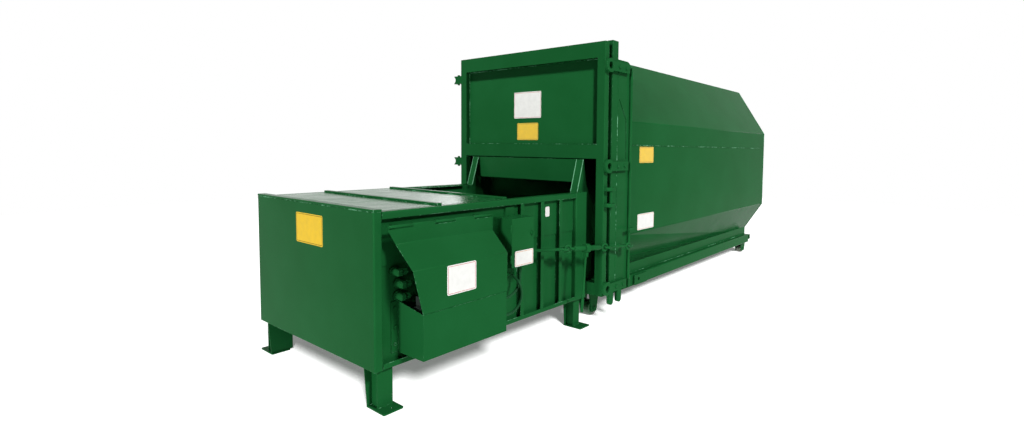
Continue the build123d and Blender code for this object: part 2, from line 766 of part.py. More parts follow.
def door_panel():
    return along(window(DOOR_HALF - DOOR_POST, (DOOR_MID_RAIL[1], DOOR_TOP_RAIL)), DOOR_PANEL)


def door_seal():
    """A rubber strip pressed between the door and the container."""
    inset = SEAL_INSET
    ring_out = window(DOOR_HALF - inset, (DOOR_Z[0] + inset, DOOR_Z[1] - inset))
    ring_in = window(DOOR_HALF - DOOR_POST + 10, (DOOR_BOTTOM_RAIL - 20, DOOR_TOP_RAIL + 20))
    return along(ring_out - ring_in, (DOOR_BACK, BOLSTER[0]))


def door_straps():
    """Forged straps on the power side that clamp the door, and two latch lugs with their pin.

    Each strap has a round eye at the door's edge and two bolts. Two tabs hang from the lowest one.
    """
    face = -DOOR_HALF
    eye_x = DOOR + STRAP_EYE - 14
    straps = []
    for z in STRAP_Z:
        section = Pos((eye_x + STRAP_END) / 2, z) * Rectangle(STRAP_END - eye_x, STRAP_HEIGHT)
        section += Pos(eye_x, z) * Circle(STRAP_EYE)
        if z == STRAP_Z[0]:
            for x in STRAP_TABS:
                section += Pos(x, z - 65) * Rectangle(64, 130) + Pos(x, z - 130) * Circle(32)
        section -= Pos(eye_x, z) * Circle(STRAP_HOLE)
        strap = across(section, (face - STRAP, face))
        for x in (DOOR + 190, DOOR + 310):
            strap += hex_head(x, face - STRAP, z, 18, 12)
        straps.append(strap)
    middle_x = DOOR + 75
    latch = bar_z(middle_x, face - 36, (LATCH_LUGS[0] - 30, LATCH_LUGS[1] + 30), 14)
    for z in LATCH_LUGS:
        lug = block((middle_x - 68, middle_x + 68), (face - 64, face), (z - 16, z + 16))
        latch += fillet(lug.edges().filter_by(Axis.Z).group_by(Axis.Y)[0], 40)
    return Compound(children=[*straps, latch])


def door_hinges():
    """Hinge ears on the far side, waisted in the middle, each with its pin."""
    face = DOOR_HALF
    ears = []
    for z in STRAP_Z:
        half = STRAP_HEIGHT / 2
        line = ((face, z - half), (face + 135, z - half), (face + 110, z - half + 30),
                (face + 110, z + half - 30), (face + 135, z + half), (face, z + half))
        ear = along(outline(*line), (DOOR + 14, DOOR + 54))
        pin = bar_z(DOOR + 34, face + 75, (z - half - 14, z + half + 14), 13)
        ears.append(ear + pin)
    return Compound(children=ears)


def door_latch_rod():
    """The upright locking rod beside the collar, with guide sleeves and a handle."""
    rod = bar_z(ROD_X, ROD_Y, (DOOR_Z[0] + 10, COLLAR_TOP - 60), ROD_RADIUS)
    for z in (420, 1450, 2340):
        rod += bar_z(ROD_X, ROD_Y, (z - 45, z + 45), -DOOR_HALF - ROD_Y)
    handle = bar_y(ROD_X, (ROD_Y - 48, ROD_Y), 892, 14)
    return rod + handle + block((ROD_X - 90, ROD_X + 14), (ROD_Y - 60, ROD_Y - 40), (880, 904))


def octagon():
    """The container's full section in (y, z)."""
    return outline(*OCTAGON, *[(-y, z) for y, z in reversed(OCTAGON)])


def container_collar():
    """The front of the container: a tall bolster frame, and a shouldered box that meets the octagon."""
    half = DOOR_HALF
    opening = window(half - DOOR_POST, (DOOR_BOTTOM_RAIL, DOOR_TOP_RAIL))
    bolster = along(window(half, (DOOR_Z[0], BOLSTER_TOP)) - opening, BOLSTER)
    start = BOLSTER[1]
    profile = outline((start, DOOR_Z[0]), (COLLAR_END, DOOR_Z[0]),
                      (COLLAR_END, COLLAR_TOP), (start, COLLAR_TOP))
    corner = profile.vertices().sort_by_distance((COLLAR_END, COLLAR_TOP, 0))[0]
    box = across(fillet(corner, COLLAR_ROUND), (-half, half))
    inner = outline((start - 1, DOOR_Z[0] + PLATE), (COLLAR_END - PLATE, DOOR_Z[0] + PLATE),
                    (COLLAR_END - PLATE, COLLAR_TOP - PLATE), (start - 1, COLLAR_TOP - PLATE))
    corner = inner.vertices().sort_by_distance((COLLAR_END, COLLAR_TOP, 0))[0]
    box -= across(fillet(corner, COLLAR_ROUND - PLATE), (PLATE - half, half - PLATE))
    box += along(octagon() & window(half, (COLLAR_TOP - PLATE, BOLSTER_TOP)), (start, COLLAR_END))
    box -= along(offset(octagon(), -SHELL, kind=Kind.INTERSECTION), (start, COLLAR_END + 1))
    seam = trace(Polyline(*COLLAR_SLOT), line_width=9)
    box -= across(seam, (-half - 1, half + 1))
    return bolster + box


def container_shell():
    """One side of the container: a sheet folded at both creases."""
    line = [(-y, z) for y, z in OCTAGON]
    return along(folded(line, SHELL, 24, Side.RIGHT), (COLLAR_END, CONTAINER_END - SHELL))


def container_roof():
    half = OCTAGON[3][0] - SHELL
    top = OCTAGON[3][1]
    return block((COLLAR_END, CONTAINER_END - SHELL), (-half, half), (top - SHELL, top))


def container_floor():
    half = OCTAGON[0][0]
    low = OCTAGON[0][1]
    return block((COLLAR_END, CONTAINER_END - SHELL), (-half, half), (low - DECK, low))


def container_end_wall():
    return along(octagon(), (CONTAINER_END - SHELL, CONTAINER_END))


def base_channel(y, z, x):
    """A channel along the machine with its web outside."""
    line = ((-y[0], z[0]), (-y[1], z[0]), (-y[1], z[1]), (-y[0], z[1]))
    return along(folded(line, PLATE, BEND, Side.RIGHT), x)


def under_slope(y, x):
    """A plate that stands on the base rail and reaches up to the lower slope of the side."""
    (foot_y, foot_z), (crease_y, crease_z) = OCTAGON[:2]
    slope = (crease_z - foot_z) / (crease_y - foot_y)
    inner, outer = y
    level = BASE_RAIL_Z[1]
    points = [(-inner, level), (-outer, level)]
    points += [(-edge, foot_z + (edge - foot_y) * slope - 1) for edge in (outer, inner)]
    return along(outline(*points), x)


def pull_plate():
    """A plate with an eye on the outside of the base rail."""
    outside = -BASE_RAIL_Y[1]
    plate = block(PULL_PLATE, (outside - 24, outside), (BASE_RAIL_Z[0] + 10, BASE_RAIL_Z[1] - 8))
    plate = fillet(plate.edges().filter_by(Axis.Y), 14)
    return plate - bar_y(PULL_PLATE[0] + 90, (outside - 30, outside), 240, 20)


def base_rails():
    """Outer rails with skirts and a gusset over them, inner sills, pull plates and the rear beam."""
    run = (COLLAR_END, CONTAINER_END)
    rail = base_channel(BASE_RAIL_Y, BASE_RAIL_Z, run)
    sill = base_channel(SILL_Y, (BASE_RAIL_Z[0] - 40, BASE_RAIL_Z[1]), (COLLAR_END, CONTAINER_END - 160))
    low, high = REAR_BEAM_Z
    line = ((CONTAINER_END, low), (REAR_BEAM, low), (REAR_BEAM, high), (CONTAINER_END, high))
    half = BASE_RAIL_Y[1]
    beam = across(folded(line, PLATE, BEND, Side.LEFT), (-half, half))
    skirt = under_slope(SKIRT_Y, run)
    gusset = under_slope((SKIRT_Y[1], BASE_RAIL_Y[1]), (GUSSET_X, GUSSET_X + PLATE))
    return Compound(children=[*both(rail, sill, skirt, pull_plate(), gusset).children, beam])


def container_cross_members():
    level = (BASE_RAIL_Z[1], OCTAGON[0][1] - DECK)
    pitch = (CONTAINER_END - COLLAR_END - 60) / (CROSS_MEMBERS - 1)
    half = OCTAGON[0][0] - 10
    places = [COLLAR_END + number * pitch for number in range(CROSS_MEMBERS)]
    return Compound(children=[block((x, x + 60), (-half, half), level) for x in places])


def roller_bracket(place, top, spread, toe):
    """Two tapered plates with the axle pin welded through them."""
    x, radius, inner, outer = place
    foot = radius - 35
    line = outline((x - spread, top), (x + spread, top), (x + toe, foot), (x - toe, foot))
    bracket = across(line, (-inner[1], -inner[0])) + across(line, (-outer[1], -outer[0]))
    return bracket + bar_y(x, (-outer[1] - 12, 12 - inner[0]), radius, AXLE_RADIUS)


def roller_brackets():
    front = roller_bracket(FRONT_ROLLER, DOOR_Z[0], 88, 38)
    rear = roller_bracket(REAR_ROLLER, REAR_BEAM_Z[0], 115, 60)
    return both(front, rear)


def roller(place):
    """A steel ground roller with chamfered rims, on its axle pin."""
    x, radius, inner, outer = place
    width = (-outer[0] + ROLLER_GAP, -inner[1] - ROLLER_GAP)
    wheel = bar_y(x, width, radius, radius)
    wheel = chamfer(wheel.edges().filter_by(GeomType.CIRCLE), 5)
    return wheel - bar_y(x, (width[0] - 1, width[1] + 1), radius, AXLE_RADIUS + RUNNING_GAP)


PIECES = {
    "floor_plate": floor_plate(),
    "floor_cross_members": floor_cross_members(),
    "power_side_wall": side_wall(),
    "far_side_wall": mirrored(side_wall()),
    "top_rails": top_rails(),
    "bottom_sills": bottom_sills(),
    "side_ribs": side_ribs(),
    "front_posts": front_posts(),
    "rear_panel": rear_panel(),
    "top_covers": top_covers(),
    "cover_bars": cover_bars(),
    "legs": legs(),
    "throat_cheeks": throat_cheeks(),
    "throat_panel": throat_panel(),
    "cylinder_anchor_beam": cylinder_anchor_beam(),
    "cylinder_anchor_pin": cylinder_pin(ANCHOR_PIN_X),
    "cylinder_barrel": cylinder_barrel(),
    "cylinder_stage": cylinder_stage(),
    "cylinder_plunger": cylinder_plunger(),
    "ram_platen": ram_platen(),
    "ram_shoes": ram_shoes(),
    "ram_pin": cylinder_pin(RAM_PIN_X),
    "power_unit_housing": power_unit_housing(),
    "housing_bolts": housing_bolts(),
    "hydraulic_reservoir": hydraulic_reservoir(),
    "electric_motor": electric_motor(),
    "hydraulic_pump": hydraulic_pump(),
    "valve_manifold": valve_manifold(),
    "hydraulic_fittings": hydraulic_fittings(),
    "hydraulic_hose": hose(HOSE_ROUTE),
    "control_conduit": hose(CONDUIT_ROUTE),
    "hood_hinge": hood_hinge(),
    "hood_lid": hood_lid(),
    "control_box": control_box(),
    "control_box_door": control_box_door(),
    "control_box_latch": control_box_latch(),
    "binder_lugs": binder_lugs(),
    "binder_eye_rods": binder_eye_rods(),
    "binder_barrels": binder_barrels(),
    "power_side_binder_handle": binder_handle(),
    "far_side_binder_handle": mirrored(binder_handle()),
    "door_frame": door_frame(),
    "door_panel": door_panel(),
    "door_seal": door_seal(),
    "door_straps": door_straps(),
    "door_hinges": door_hinges(),
    "door_latch_rod": door_latch_rod(),
    "container_collar": container_collar(),
    "power_side_shell": container_shell(),
    "far_side_shell": mirrored(container_shell()),
    "container_roof": container_roof(),
    "container_floor": container_floor(),
    "container_end_wall": container_end_wall(),
    "base_rails": base_rails(),
    "container_cross_members": container_cross_members(),
    "roller_brackets": roller_brackets(),
    "front_power_side_roller": roller(FRONT_ROLLER),
    "front_far_side_roller": mirrored(roller(FRONT_ROLLER)),
    "rear_power_side_roller": roller(REAR_ROLLER),
    "rear_far_side_roller": mirrored(roller(REAR_ROLLER)),
}

os.makedirs("parts", exist_ok=True)
for name, piece in PIECES.items():
    export_step(piece, f"parts/{name}.step")
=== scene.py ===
"""Looks of the waste compactor: enamel, steel, rubber, welds, plates, light and camera around its frame."""

import math

import bpy
from mathutils import Matrix, Vector


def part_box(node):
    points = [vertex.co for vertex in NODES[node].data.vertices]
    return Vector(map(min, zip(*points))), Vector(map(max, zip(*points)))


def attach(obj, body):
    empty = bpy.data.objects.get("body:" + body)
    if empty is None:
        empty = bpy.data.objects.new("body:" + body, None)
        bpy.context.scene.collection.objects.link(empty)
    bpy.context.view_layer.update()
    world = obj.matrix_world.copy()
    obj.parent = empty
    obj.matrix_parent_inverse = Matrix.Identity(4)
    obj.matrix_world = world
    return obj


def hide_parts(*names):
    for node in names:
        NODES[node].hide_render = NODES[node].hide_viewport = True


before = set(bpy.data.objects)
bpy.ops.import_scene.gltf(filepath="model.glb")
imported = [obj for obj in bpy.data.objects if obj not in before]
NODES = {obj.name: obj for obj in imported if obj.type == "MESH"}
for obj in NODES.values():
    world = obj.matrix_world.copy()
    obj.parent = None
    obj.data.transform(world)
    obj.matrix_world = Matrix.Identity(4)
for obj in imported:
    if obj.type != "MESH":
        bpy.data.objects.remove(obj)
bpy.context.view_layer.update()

# Camera, in metres, degrees and pixels of the photograph's frame
IMAGE = (1024, 428)
CAMERA_PLACE = (-2.896, -3.719, 1.668)
CAMERA_HEADING = 52.93
CAMERA_DOWN = 3.52
CAMERA_ROLL = 0.74
FOCAL_PIXELS = 525.97
OPTICAL_AXIS = (578.7, 181.0)
SENSOR = 36.0

# Lights: the direction that each comes from, its strength, and its width in degrees
LIGHTS = {
    "front_light": ((0.03, -0.78, 0.62), 2.80, 9.0),
    "rear_light": ((-0.95, -0.15, 0.22), 2.40, 16.0),
    "back_light": ((0.70, 0.62, 0.35), 1.1, 25.0),
    "door_light": ((-0.38, -0.58, 0.72), 6.9, 5.0),
    "floor_light": ((-0.42, -0.74, 0.53), 6.6, 12.0),
}
DOOR_LIT = ("door_panel", "door_plate", "door_lower_plate")
SKY_LEVEL = 0.10

# Floor: its size, and its tones for bounced light and where it is seen
FLOOR_CENTRE = (2.2, 0.0)
FLOOR_RADIUS = 14.0
FLOOR_SIDES = 128
FLOOR_BOUNCE = (0.80, 0.80, 0.80, 1)
FLOOR_SEEN = (0.92, 0.92, 0.92, 1)
FLOOR_GLOW = 0.20

# Specular levels, roughness, and depths of the enamel's waves and orange peel in metres
WALL_GLOSS = 0.012
COVER_GLOSS = 0.12
RUBBER_GLOSS = 0.04
GREEN_ROUGHNESS = 0.20
MACHINE_ROUGHNESS = 0.38
SHEET_WAVES = 0.00012
ORANGE_PEEL = 0.00002

# Colours
WHITE = (1, 1, 1, 1)
GREEN = (0.0095, 0.098, 0.026, 1)
GREEN_DEEP = (0.0075, 0.086, 0.021, 1)
# Pale green of edges and beads: partly rubbed enamel, partly a painted highlight standing in for glints
RUBBED_AND_GLINT_GREEN = (0.13, 0.36, 0.20, 1)
MACHINE_GREY = (0.030, 0.042, 0.036, 1)
STEEL = (0.32, 0.32, 0.31, 1)
WORN_STEEL = (0.16, 0.15, 0.14, 1)
RUBBER = (0.012, 0.012, 0.012, 1)
RUBBER_BLOOM = (0.030, 0.030, 0.028, 1)
HOSE_GREEN = (0.008, 0.060, 0.020, 1)
HOSE_BLOOM = (0.014, 0.085, 0.030, 1)
PLATE_WHITE = (0.78, 0.78, 0.75, 1)
PLATE_YELLOW = (0.76, 0.50, 0.035, 1)
LINE_RED = (0.48, 0.040, 0.035, 1)
LINE_ORANGE = (0.60, 0.23, 0.035, 1)
LINE_BLACK = (0.012, 0.012, 0.012, 1)

# Broken edges: widths in metres, the most of a thin piece that they take, and the least fold in degrees
WIDE_EDGE = 0.004
PLAIN_EDGE = 0.003
EDGE_SHARE = 0.2
EDGE_FOLD = 35
SAME_CORNER = 0.00002

# Hoses below the control box: length, and the route of the CAD tube
HOSE_DIAMETER = 0.020
HOSES = {
    "hydraulic_hose": (0.539, (
        (0.060, -0.794, 0.666), (0.060, -0.836, 0.666), (0.059, -0.876, 0.653), (0.058, -0.910, 0.628),
        (0.057, -0.934, 0.594), (0.056, -0.946, 0.554), (0.054, -0.947, 0.512), (0.041, -0.945, 0.472),
        (0.017, -0.940, 0.438), (-0.017, -0.933, 0.413), (-0.057, -0.926, 0.401), (-0.099, -0.921, 0.399),
        (-0.138, -0.918, 0.399), (-0.178, -0.918, 0.399),
    )),
    "control_conduit": (0.429, (
        (0.110, -0.880, 0.738), (0.110, -0.880, 0.690), (0.104, -0.884, 0.643), (0.086, -0.890, 0.601),
        (0.057, -0.896, 0.567), (0.018, -0.901, 0.544), (-0.027, -0.904, 0.530), (-0.076, -0.905, 0.524),
        (-0.126, -0.906, 0.522), (-0.178, -0.906, 0.522),
    )),
}

# Crimped ferrule: distance along the hose and radius
FERRULE = (
    (0.0, 0.0112), (0.001, 0.0138), (0.006, 0.0138), (0.008, 0.0124), (0.010, 0.0138), (0.015, 0.0138),
    (0.017, 0.0124), (0.019, 0.0138), (0.024, 0.0138), (0.026, 0.0106),
)
FERRULE_SIDES = 20

# Bare plates: carrier, left and lower edge, width and height, field, line and body
PLATES = {
    "hood_plate": ("hood_lid", -0.738, 0.708, 0.245, 0.196, "white", "red", "hood"),
    "control_plate": ("control_box_door", -0.054, 0.768, 0.204, 0.119, "white", "orange", "box_door"),
    "door_plate": ("door_panel", 0.203, 1.976, 0.374, 0.270, "white", "red", "machine"),
    "door_lower_plate": ("door_panel", 0.157, 1.751, 0.291, 0.175, "yellow", "black", "machine"),
    "side_plate": ("power_side_shell", 1.757, 1.530, 0.290, 0.165, "yellow", "black", "machine"),
    "side_lower_plate": ("power_side_shell", 1.740, 0.838, 0.340, 0.165, "white", "orange", "machine"),
    "wall_tag": ("power_side_wall", 0.525, 1.078, 0.055, 0.086, "white", "white", "machine"),
}
PLATE_THICK = 0.0012
PLATE_BEVEL = 0.0004
PLATE_CORNER = 0.012
LEAST_CORNER = 0.002
CORNER_POINTS = 6
LINE_OUTER = 0.007
LINE_INNER = 0.010

# Printed field on the rear panel, with the reach of its print through the sheet and the blur of its edge
REAR_PRINT = ((-1.117, -0.200, 0.976), (-1.115, 0.175, 1.190))
PRINT_DEPTH = 0.002
PRINT_BLUR = 0.0003

# Container: its section in (y, z), its ends, and its seams' places
OCTAGON = ((0.656, 0.336), (0.976, 0.820), (0.976, 1.940), (0.540, 2.619))
SHELL_X = (1.549, 5.656)
LONG_SEAMS = ((-0.9765, 1.709), (-0.537, 2.619), (-0.709, 0.299))
COLLAR_SEAM = (1.313, -0.990)
COLLAR_Z = (0.300, 2.500)

# Legs: back edge and width, side faces, and the heights of their welds
LEGS = ((-1.078, 0.109), (0.938, 0.090))
LEG_OUTSIDE = -0.7785
LEG_INSIDE = -0.6905
LEG_INNER_WIDTH = 0.148
PAD_TOP = 0.0105
LEG_TOP = 0.2615

# Door recess, ribs, cover bars and throat posts
RECESS_X = 1.1495
RECESS_SIDE = 0.8985
RECESS_Z = (1.711, 2.502)
RIB_FIRST = 0.6975
RIB_PITCH = 0.246
RIB_EDGE = 0.0215
RIB_Z = (0.310, 0.900)
RIBS_POWER_SIDE = 3
RIBS_FAR_SIDE = 7
WALL_FACE = -0.7705
BAR_EDGES = (-0.6055, -0.5645, 0.0285)
BAR_HALF = 0.740
COVER_TOP = 1.2645
POST_FOOT = (0.996, 1.264)
POST_HEAD = (1.086, 1.566)
POST_FOLDS = (-0.762, -0.683)

# Weld beads: radii, sides, ripples, and the length and gap of stitches
CONTAINER_BEAD = 0.0050
BODY_BEAD = 0.0045
POST_BEAD = 0.0050
BEAD_SIDES = 8
RIPPLE = 0.011
RIPPLE_DIP = 0.72
RIPPLE_SWAY = 0.10
RIPPLE_TURN = 1.7
BEAD_END = 0.45
RIB_STITCH = (0.050, 0.120)
BAR_STITCH = (0.060, 0.200)


def node(tree, kind, inputs=None, **settings):
    """A shader node with its settings, and its inputs set or linked."""
    made = tree.nodes.new(kind)
    for key, value in settings.items():
        setattr(made, key, value)
    for key, value in (inputs or {}).items():
        if isinstance(value, bpy.types.NodeSocket):
            tree.links.new(value, made.inputs[key])
        else:
            made.inputs[key].default_value = value
    return made


def new_material(name):
    """A material with its tree, its shader and the part's own coordinates in metres."""
    material = bpy.data.materials.new(name)
    material.use_nodes = True
    tree = material.node_tree
    place = node(tree, "ShaderNodeTexCoord").outputs["Object"]
    return material, tree, tree.nodes["Principled BSDF"], place


def noise(tree, place, grains, detail):
    """Noise between 0 and 1, with so many grains in a metre."""
    return node(tree, "ShaderNodeTexNoise", {"Vector": place, "Scale": grains, "Detail": detail}).outputs["Fac"]


def stretched(tree, place, scale):
    """Coordinates scaled by a different amount along each axis."""
    return node(tree, "ShaderNodeMapping", {"Vector": place, "Scale": scale}).outputs["Vector"]


def mapped(tree, value, low, high, start=0.3, end=0.7):
    """A value spread over another range."""
    inputs = {"Value": value, "From Min": start, "From Max": end, "To Min": low, "To Max": high}
    return node(tree, "ShaderNodeMapRange", inputs).outputs["Result"]


def maths(tree, operation, first, second, clamp=False):
    """Arithmetic on two values."""
    return node(tree, "ShaderNodeMath", {0: first, 1: second}, operation=operation, use_clamp=clamp).outputs[0]


def vectors(tree, operation, *inputs):
    """Arithmetic on vectors."""
    return node(tree, "ShaderNodeVectorMath", dict(enumerate(inputs)), operation=operation).outputs


def mixed(tree, factor, first, second):
    """A colour between two others."""
    return node(tree, "ShaderNodeMix", {0: factor, 6: first, 7: second}, data_type="RGBA").outputs[2]


def between(tree, factor, first, second):
    """A number between two others."""
    return node(tree, "ShaderNodeMix", {0: factor, 2: first, 3: second}, data_type="FLOAT").outputs[0]


def bumped(tree, heights):
    """A normal with several heights on it, each a pair of value and depth in metres."""
    normal = None
    for value, depth in heights:
        inputs = {"Height": value, "Distance": depth, "Strength": 1.0}
        if normal:
            inputs["Normal"] = normal
        normal = node(tree, "ShaderNodeBump", inputs).outputs["Normal"]
    return normal


def toned(colour, share, lift=0.0):
    """A colour made darker by a share, and lifted evenly."""
    return tuple(share * value + lift for value in colour[:3]) + (1,)


def enamel_colour(tree, place, light, deep):
    """Sprayed colour: broad clouds and fine specks."""
    cloud = mapped(tree, noise(tree, place, grains=2.3, detail=4), 0, 1)
    speck = mapped(tree, noise(tree, place, grains=90, detail=2), -0.12, 0.12)
    return mixed(tree, maths(tree, "ADD", cloud, speck, clamp=True), deep, light)


def paint(name, light, deep, roughness, waves, gloss=WALL_GLOSS):
    """Sprayed enamel: clouded colour, orange peel, and sheet metal that isn't quite flat."""
    material, tree, shader, place = new_material(name)
    tree.links.new(enamel_colour(tree, place, light, deep), shader.inputs["Base Color"])
    uneven = mapped(tree, noise(tree, place, grains=6, detail=3), roughness - 0.04, roughness + 0.06)
    tree.links.new(uneven, shader.inputs["Roughness"])
    heights = [(noise(tree, place, grains=1.1, detail=1), waves),
               (noise(tree, place, grains=260, detail=1), ORANGE_PEEL)]
    tree.links.new(bumped(tree, heights), shader.inputs["Normal"])
    shader.inputs["Specular IOR Level"].default_value = gloss
    return material


def green_paint(name, waves=SHEET_WAVES, gloss=WALL_GLOSS):
    """The machine's green enamel."""
    return paint(name, GREEN, GREEN_DEEP, GREEN_ROUGHNESS, waves, gloss)


def over_colour(material):
    """What it takes to paint over a material's colour: its tree, coordinates, shader input and present colour."""
    tree = material.node_tree
    place = node(tree, "ShaderNodeTexCoord").outputs["Object"]
    colour = tree.nodes["Principled BSDF"].inputs["Base Color"]
    return tree, place, colour, colour.links[0].from_socket


def print_tone(tree, place, colour):
    """A printed colour, faded in places."""
    fading = mapped(tree, noise(tree, place, grains=24, detail=4), 0, 1)
    return mixed(tree, fading, toned(colour, 0.90, 0.008), colour)


def print_area(tree, place, low, high, inset):
    """1 inside a rounded rectangle on a face across X, set in from its edge, and 0 outside it."""
    middle = [(first + last) / 2 for first, last in zip(low, high)]
    reach = [(last - first) / 2 - PLATE_CORNER for first, last in zip(low, high)]
    spread = vectors(tree, "ABSOLUTE", vectors(tree, "SUBTRACT", place, middle)[0])[0]
    past = vectors(tree, "SUBTRACT", spread, (PRINT_DEPTH, *reach[1:]))[0]
    outside = vectors(tree, "MAXIMUM", past, (0, 0, 0))[0]
    distance = vectors(tree, "LENGTH", vectors(tree, "MULTIPLY", outside, (100, 1, 1))[0])["Value"]
    edge = PLATE_CORNER - inset
    return mapped(tree, distance, 1, 0, edge - PRINT_BLUR, edge + PRINT_BLUR)


def printed_paint():
    """The rear panel's enamel with a bare printed field: yellow, with a thin black line set in from its edge."""
    material = green_paint("green_enamel_rear")
    tree, place, colour, shown = over_colour(material)
    yellow = print_tone(tree, place, PLATE_YELLOW)
    for inset, tone in ((0.0, yellow), (LINE_OUTER, LINE_BLACK), (LINE_INNER, yellow)):
        shown = mixed(tree, print_area(tree, place, *REAR_PRINT, inset), shown, tone)
    tree.links.new(shown, colour)
    return material


def rubbed_and_glint_paint(name, start, end):
    """Enamel of an edge or a bead, pale in places: partly rubbed enamel, partly a painted highlight standing in for
    glints. The two numbers say where the pale sets in.
    """
    material = green_paint(name, waves=0.0)
    tree, place, colour, enamel = over_colour(material)
    chips_and_glints = maths(tree, "ADD", noise(tree, place, grains=38, detail=4), noise(tree, place, grains=4, detail=2))
    tree.links.new(mixed(tree, mapped(tree, chips_and_glints, 0, 1, start, end), enamel, RUBBED_AND_GLINT_GREEN), colour)
    return material


def worn_paint():
    """Enamel rubbed through to steel in streaks along the machine, as where waste slides."""
    material, tree, shader, place = new_material("rubbed_enamel")
    streak = noise(tree, stretched(tree, place, (3, 70, 70)), grains=1.0, detail=4)
    patches = noise(tree, place, grains=3.5, detail=3)
    bare = mapped(tree, maths(tree, "ADD", streak, patches), 0, 1, start=1.02, end=1.16)
    enamel = enamel_colour(tree, place, GREEN, GREEN_DEEP)
    tree.links.new(mixed(tree, bare, enamel, WORN_STEEL), shader.inputs["Base Color"])
    tree.links.new(bare, shader.inputs["Metallic"])
    tree.links.new(between(tree, bare, 0.30, 0.42), shader.inputs["Roughness"])
    tree.links.new(bumped(tree, [(streak, 0.0002)]), shader.inputs["Normal"])
    return material


def bare_steel():
    """Machined steel with a fine grain."""
    material, tree, shader, place = new_material("bare_steel")
    grain = noise(tree, place, grains=420, detail=3)
    tree.links.new(mixed(tree, mapped(tree, grain, 0, 1), toned(STEEL, 0.6), STEEL), shader.inputs["Base Color"])
    uneven = mapped(tree, noise(tree, place, grains=35, detail=3), 0.25, 0.42)
    tree.links.new(uneven, shader.inputs["Roughness"])
    tree.links.new(bumped(tree, [(grain, 0.00005)]), shader.inputs["Normal"])
    shader.inputs["Metallic"].default_value = 1.0
    return material


def rubber(name, colour, bloom):
    """Moulded rubber with a dusty bloom."""
    material, tree, shader, place = new_material(name)
    dusty = mapped(tree, noise(tree, place, grains=14, detail=4), 0, 1)
    tree.links.new(mixed(tree, dusty, colour, bloom), shader.inputs["Base Color"])
    uneven = mapped(tree, noise(tree, place, grains=40, detail=2), 0.38, 0.60)
    tree.links.new(uneven, shader.inputs["Roughness"])
    pores = noise(tree, place, grains=600, detail=2)
    tree.links.new(bumped(tree, [(pores, 0.00015)]), shader.inputs["Normal"])
    shader.inputs["Specular IOR Level"].default_value = RUBBER_GLOSS
    return material


def print_colour(name, colour):
    """One colour of a printed plate, a little uneven."""
    material, tree, shader, place = new_material(name)
    tree.links.new(print_tone(tree, place, colour), shader.inputs["Base Color"])
    uneven = mapped(tree, noise(tree, place, grains=60, detail=2), 0.30, 0.42)
    tree.links.new(uneven, shader.inputs["Roughness"])
    return material


GREEN_PAINT = green_paint("green_enamel")
COVER_PAINT = green_paint("cover_enamel", gloss=COVER_GLOSS)
MACHINE_PAINT = paint("machine_enamel", MACHINE_GREY, toned(MACHINE_GREY, 0.8), MACHINE_ROUGHNESS, waves=0.0)
PRINTED_PAINT = printed_paint()
# Edges and beads painted pale in places: rubbed enamel and a painted highlight
EDGE_WEAR_AND_GLINT_PAINT = rubbed_and_glint_paint("rubbed_and_glint_edges", 1.00, 1.20)
FOLD_WEAR_AND_GLINT_PAINT = rubbed_and_glint_paint("rubbed_and_glint_folds", 0.70, 0.98)
WORN_PAINT = worn_paint()
BARE_STEEL = bare_steel()
BLACK_RUBBER = rubber("black_rubber", RUBBER, RUBBER_BLOOM)
HOSE_RUBBER = rubber("painted_hose", HOSE_GREEN, HOSE_BLOOM)
PRINT = {
    "white": print_colour("print_white", PLATE_WHITE),
    "yellow": print_colour("print_yellow", PLATE_YELLOW),
    "red": print_colour("print_red", LINE_RED),
    "orange": print_colour("print_orange", LINE_ORANGE),
    "black": print_colour("print_black", LINE_BLACK),
}

# Nodes with a finish of their own; all others are green, the binders and fittings too
FINISHES = {
    BARE_STEEL: ("cylinder_anchor_pin", "cylinder_stage", "cylinder_plunger", "ram_pin"),
    WORN_PAINT: ("floor_plate", "ram_platen", "ram_shoes", "front_power_side_roller", "front_far_side_roller",
                 "rear_power_side_roller", "rear_far_side_roller"),
    COVER_PAINT: ("top_covers",),
    PRINTED_PAINT: ("rear_panel",),
    BLACK_RUBBER: ("door_seal",),
    HOSE_RUBBER: tuple(HOSES),
    MACHINE_PAINT: ("electric_motor", "hydraulic_pump", "valve_manifold", "cylinder_barrel", "hydraulic_reservoir"),
}
WIDE_EDGES = ("door_frame", "throat_cheeks", "throat_panel", "container_collar", "front_posts")


def finish_of(name):
    """The material of a CAD node."""
    for material, names in FINISHES.items():
        if name in names:
            return material
    return GREEN_PAINT


def dress_nodes():
    """Paint on every CAD node, and broken edges that catch the light; on green nodes those edges are painted pale
    in places, partly as rubbed enamel and partly as a painted highlight.
    """
    for name, piece in NODES.items():
        finish = finish_of(name)
        piece.data.materials.clear()
        piece.data.materials.append(finish)
        low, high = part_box(name)
        weld = piece.modifiers.new("joined_corners", "WELD")
        weld.merge_threshold = SAME_CORNER
        edge = piece.modifiers.new("broken_edges", "BEVEL")
        edge.width = min(WIDE_EDGE if name in WIDE_EDGES else PLAIN_EDGE, EDGE_SHARE * min(high - low))
        edge.segments = 2
        edge.limit_method = "ANGLE"
        edge.angle_limit = math.radians(EDGE_FOLD)
        edge.harden_normals = True
        # Bevel faces of green nodes take the pale edge paint: rubbed enamel and a painted highlight
        if finish in (GREEN_PAINT, COVER_PAINT, PRINTED_PAINT):
            piece.data.materials.append(EDGE_WEAR_AND_GLINT_PAINT)
            edge.material = 1


def add_piece(name, data, body):
    """An object that rides on a body, with the finish that its data carries."""
    piece = bpy.data.objects.new(name, data)
    bpy.context.scene.collection.objects.link(piece)
    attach(piece, body)
    return piece


